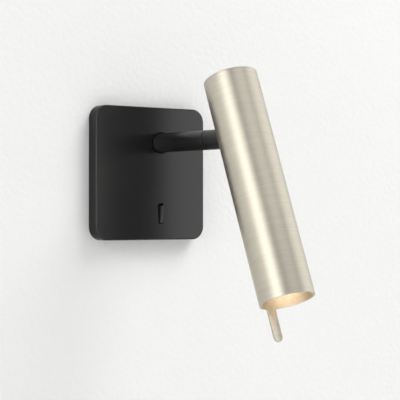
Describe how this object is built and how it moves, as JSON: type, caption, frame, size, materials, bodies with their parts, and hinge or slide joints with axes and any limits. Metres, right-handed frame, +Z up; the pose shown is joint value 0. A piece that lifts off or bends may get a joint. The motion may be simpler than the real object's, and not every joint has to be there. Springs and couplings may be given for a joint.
{
  "type": "wall spotlight",
  "caption": "Switched wall reading spotlight: square black plate with rocker, round arm with swivel, and a tilting brushed nickel tube head with a finger lever.",
  "frame": {"origin": "centre of the square plate, on the wall plane, midway between the two wall screws", "axes": "+Y into the wall, so the arm reaches out along -Y; +Z up; +X to the right seen from the room"},
  "size_m": [0.08, 0.1661, 0.1531],
  "materials": {
    "black_coat": "satin black powder coat",
    "brushed_nickel": "pale nickel plate, brushed round the tube",
    "zinc_steel": "bright zinc plate",
    "aluminium": "turned, plain",
    "brass": "plain",
    "copper": "enamelled wire",
    "spring_steel": "plain",
    "black_plastic": "fine moulded grain",
    "rocker_plastic": "smooth moulded",
    "white_plastic": "moulded",
    "bearing_plastic": "turned acetal",
    "washer_plastic": "moulded nylon",
    "circuit_board": "solder mask",
    "led_board_white": "white solder mask on an aluminium core",
    "ceramic": "matt",
    "phosphor": "silicone with phosphor",
    "thermal_silicone": "matt",
    "clear_lens": "polished clear acrylic",
    "ferrite": "sintered, dull",
    "capacitor_sleeve": "shrunk sleeve",
    "chip_black": "moulded",
    "white_lead": "silicone sleeve",
    "switch_lead_brown": "insulation",
    "earth_lead_green": "green and yellow insulation"
  },
  "bodies": {
    "root": {"cover_plate": "black_coat", "chassis_plate": "black_coat", "chassis_nuts": "zinc_steel", "wall_bracket": "zinc_steel", "cover_grub_screws": "spring_steel", "arm_tube": "black_coat", "arm_washer": "zinc_steel", "arm_nut": "brass", "pan_bush": "bearing_plastic", "pan_stop_screw": "spring_steel", "arm_lead": "white_lead", "switch_body": "black_plastic", "switch_screws": "zinc_steel", "switch_axle": "zinc_steel", "switch_contact": "brass", "switch_terminals": "brass", "switch_leads": "switch_lead_brown", "driver_spacers": "brass", "driver_mount_screws": "zinc_steel", "driver_case": "white_plastic", "driver_lid": "white_plastic", "driver_lid_screws": "zinc_steel", "driver_board": "circuit_board", "transformer_core": "ferrite", "transformer_winding": "copper", "bulk_capacitors": "capacitor_sleeve", "choke": "ferrite", "driver_chips": "chip_black", "terminal_block": "white_plastic", "terminal_screws": "zinc_steel", "earth_tag": "zinc_steel", "earth_screw": "brass", "earth_lead": "earth_lead_green"},
    "swivel": {"swivel_stub": "black_coat", "pan_stop_pin": "zinc_steel", "pan_washer": "washer_plastic", "swivel_lead": "white_lead"},
    "head": {"head_tube": "brushed_nickel", "top_cap": "brushed_nickel", "pivot_yoke": "aluminium", "yoke_screws": "zinc_steel", "friction_washers": "washer_plastic", "tilt_pin": "zinc_steel", "tilt_spring_washer": "spring_steel", "tilt_nut": "zinc_steel", "heat_sink": "aluminium", "tube_grub_screw": "spring_steel", "thermal_pad": "thermal_silicone", "led_board": "led_board_white", "led_board_screws": "zinc_steel", "led_package": "ceramic", "led_phosphor": "phosphor", "lens": "clear_lens", "lens_holder": "black_plastic", "lens_ring": "black_plastic", "head_lead": "white_lead"},
    "rocker": {"rocker": "rocker_plastic"}
  },
  "joints": [
    {"name": "pan", "type": "hinge", "parent": "root", "child": "swivel", "pos_m": [0.0072, -0.0541, 0.0186], "axis": [0, 1, 0], "range_deg": [-155, 155]},
    {"name": "tilt", "type": "hinge", "parent": "swivel", "child": "head", "pos_m": [0.0072, -0.0876, 0.0186], "axis": [-1, 0, 0], "range_deg": [-21.5, 28.5]},
    {"name": "rocker", "type": "hinge", "parent": "root", "child": "rocker", "pos_m": [0.0072, -0.005, -0.0241], "axis": [-1, 0, 0], "range_deg": [0, 13]}
  ]
}
